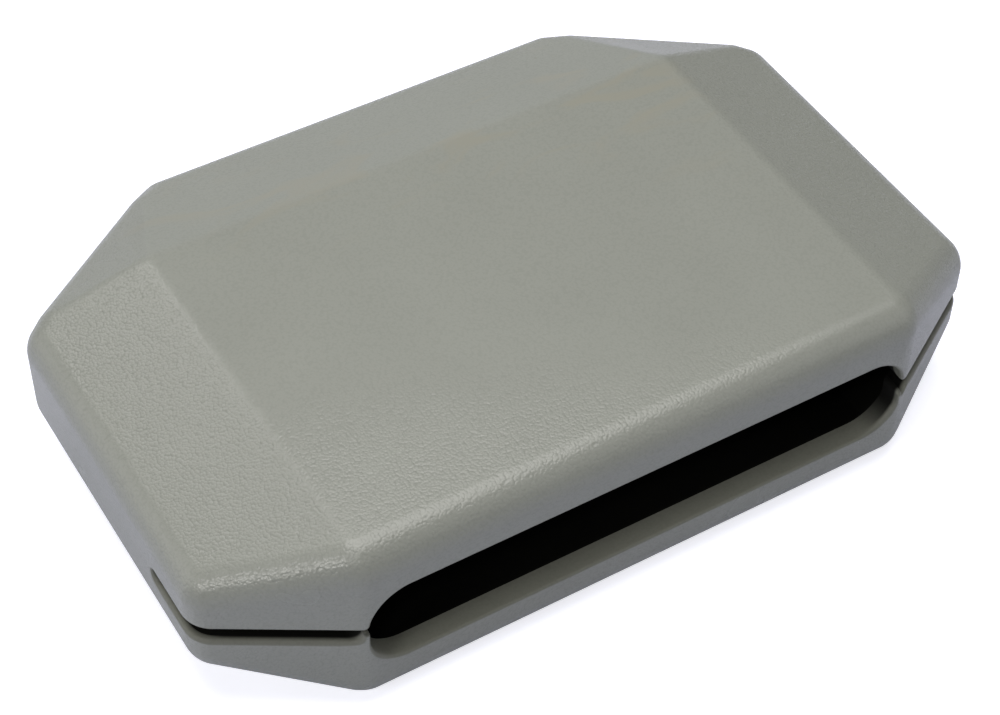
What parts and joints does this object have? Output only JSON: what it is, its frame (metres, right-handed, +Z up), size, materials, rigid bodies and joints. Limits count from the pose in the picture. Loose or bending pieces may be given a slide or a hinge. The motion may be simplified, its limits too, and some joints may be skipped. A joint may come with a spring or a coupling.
{
  "type": "percussion block",
  "caption": "Hollow moulded plastic percussion block, long octagon in plan, with a wide front mouth, side slots and a rod clamp sunk in the rear of its underside.",
  "frame": {"origin": "middle of the block's plan, on its flat underside", "axes": "+X along the length to the right seen from the mouth, the mouth faces -Y, +Z up through the struck top"},
  "size_m": [0.165, 0.1215, 0.0396],
  "materials": {
    "grey_plastic": "mid grey with a slight green cast, fine moulded leather grain, satin",
    "plated_steel": "bright zinc-plated steel",
    "insert_brass": "plain turned brass"
  },
  "bodies": {
    "block": {"upper_shell": "grey_plastic", "lower_shell": "grey_plastic", "clamp_bracket": "plated_steel", "bracket_screw_left": "plated_steel", "bracket_screw_right": "plated_steel", "lock_washer_left": "plated_steel", "lock_washer_right": "plated_steel", "threaded_insert_left": "insert_brass", "threaded_insert_right": "insert_brass", "plain_washer": "plated_steel"},
    "eye_bolt": {"eye_bolt": "plated_steel"},
    "wing_nut": {"wing_nut": "plated_steel"}
  },
  "joints": [
    {"name": "wing_nut_turn", "type": "hinge", "parent": "block", "child": "wing_nut", "pos_m": [0, 0.0518, 0.0068], "axis": [0, 1, 0], "range_deg": [-900, 900]},
    {"name": "eye_bolt_draw", "type": "slide", "parent": "block", "child": "eye_bolt", "axis": [0, 1, 0], "range_m": [-0.0026, 0.0026]}
  ],
  "couplings": [
    {"joint": "eye_bolt_draw", "follows": "wing_nut_turn", "m_per_rad": -0.00015915}
  ]
}
